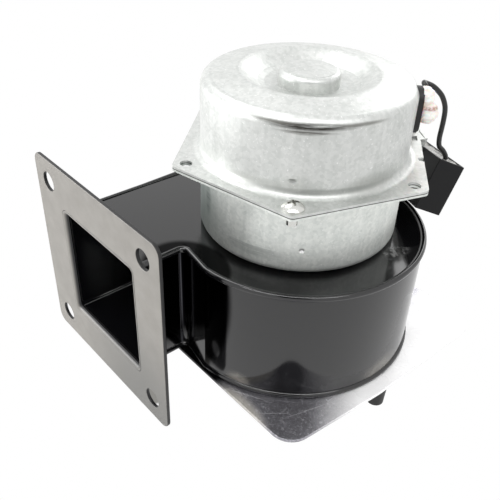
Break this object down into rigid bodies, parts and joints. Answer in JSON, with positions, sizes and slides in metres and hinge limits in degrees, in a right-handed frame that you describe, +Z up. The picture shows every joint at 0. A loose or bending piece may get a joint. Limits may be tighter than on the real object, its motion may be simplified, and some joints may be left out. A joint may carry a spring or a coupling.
{
  "type": "centrifugal blower fan",
  "caption": "Small single-inlet centrifugal blower: painted steel scroll with a square flanged outlet, closed two-cup motor on top and a side-hung capacitor.",
  "frame": {"origin": "middle of the standing outline, on the surface that the outlet flange's lower edge and the rubber feet stand on", "axes": "+Z up along the rotor axis, -Y out of the outlet, +X to the narrow side of the scroll"},
  "size_m": [0.1426, 0.2074, 0.1348],
  "materials": {
    "galvanised_steel": "galvanised, lightly spangled",
    "black_paint": "glossy black paint",
    "flange_paint": "satin dark grey paint",
    "plate_steel": "polished, scratched",
    "zinc": "bright zinc plated",
    "black_rubber": "matt",
    "core_steel": "dull laminated",
    "copper_wire": "enamelled copper",
    "bearing_steel": "ground",
    "sleeve_plastic": "pale translucent",
    "lead_plastic": "pale grey",
    "case_plastic": "fine satin",
    "potting_resin": "cast resin",
    "wire_plastic": "smooth",
    "black_nylon": "moulded"
  },
  "bodies": {
    "housing": {"base_plate": "plate_steel", "scroll_bottom_plate": "black_paint", "scroll_wall": "black_paint", "scroll_seams": "black_paint", "scroll_top_plate": "black_paint", "inlet_ring": "galvanised_steel", "outlet_flange": "flange_paint", "rubber_feet": "black_rubber", "motor_lower_cup": "galvanised_steel", "motor_upper_cup": "galvanised_steel", "flange_screws": "zinc", "motor_screws": "zinc", "stator_core": "core_steel", "stator_windings": "copper_wire", "lower_bearing": "bearing_steel", "upper_bearing": "bearing_steel", "grommet": "black_rubber", "lead_sleeve": "sleeve_plastic", "supply_lead": "lead_plastic", "lead_coil": "lead_plastic", "lead_tie": "black_nylon", "capacitor_case": "case_plastic", "capacitor_potting": "potting_resin", "capacitor_wire": "wire_plastic", "capacitor_bracket": "galvanised_steel"},
    "rotor": {"motor_shaft": "bearing_steel", "rotor_core": "core_steel", "impeller_hub": "zinc", "impeller_backplate": "galvanised_steel", "impeller_blades": "galvanised_steel", "hub_screw": "core_steel"}
  },
  "joints": [
    {"name": "impeller_spin", "type": "hinge", "parent": "housing", "child": "rotor", "pos_m": [0.0113, 0.00263, 0.0685], "axis": [0, 0, 1], "continuous": true}
  ]
}
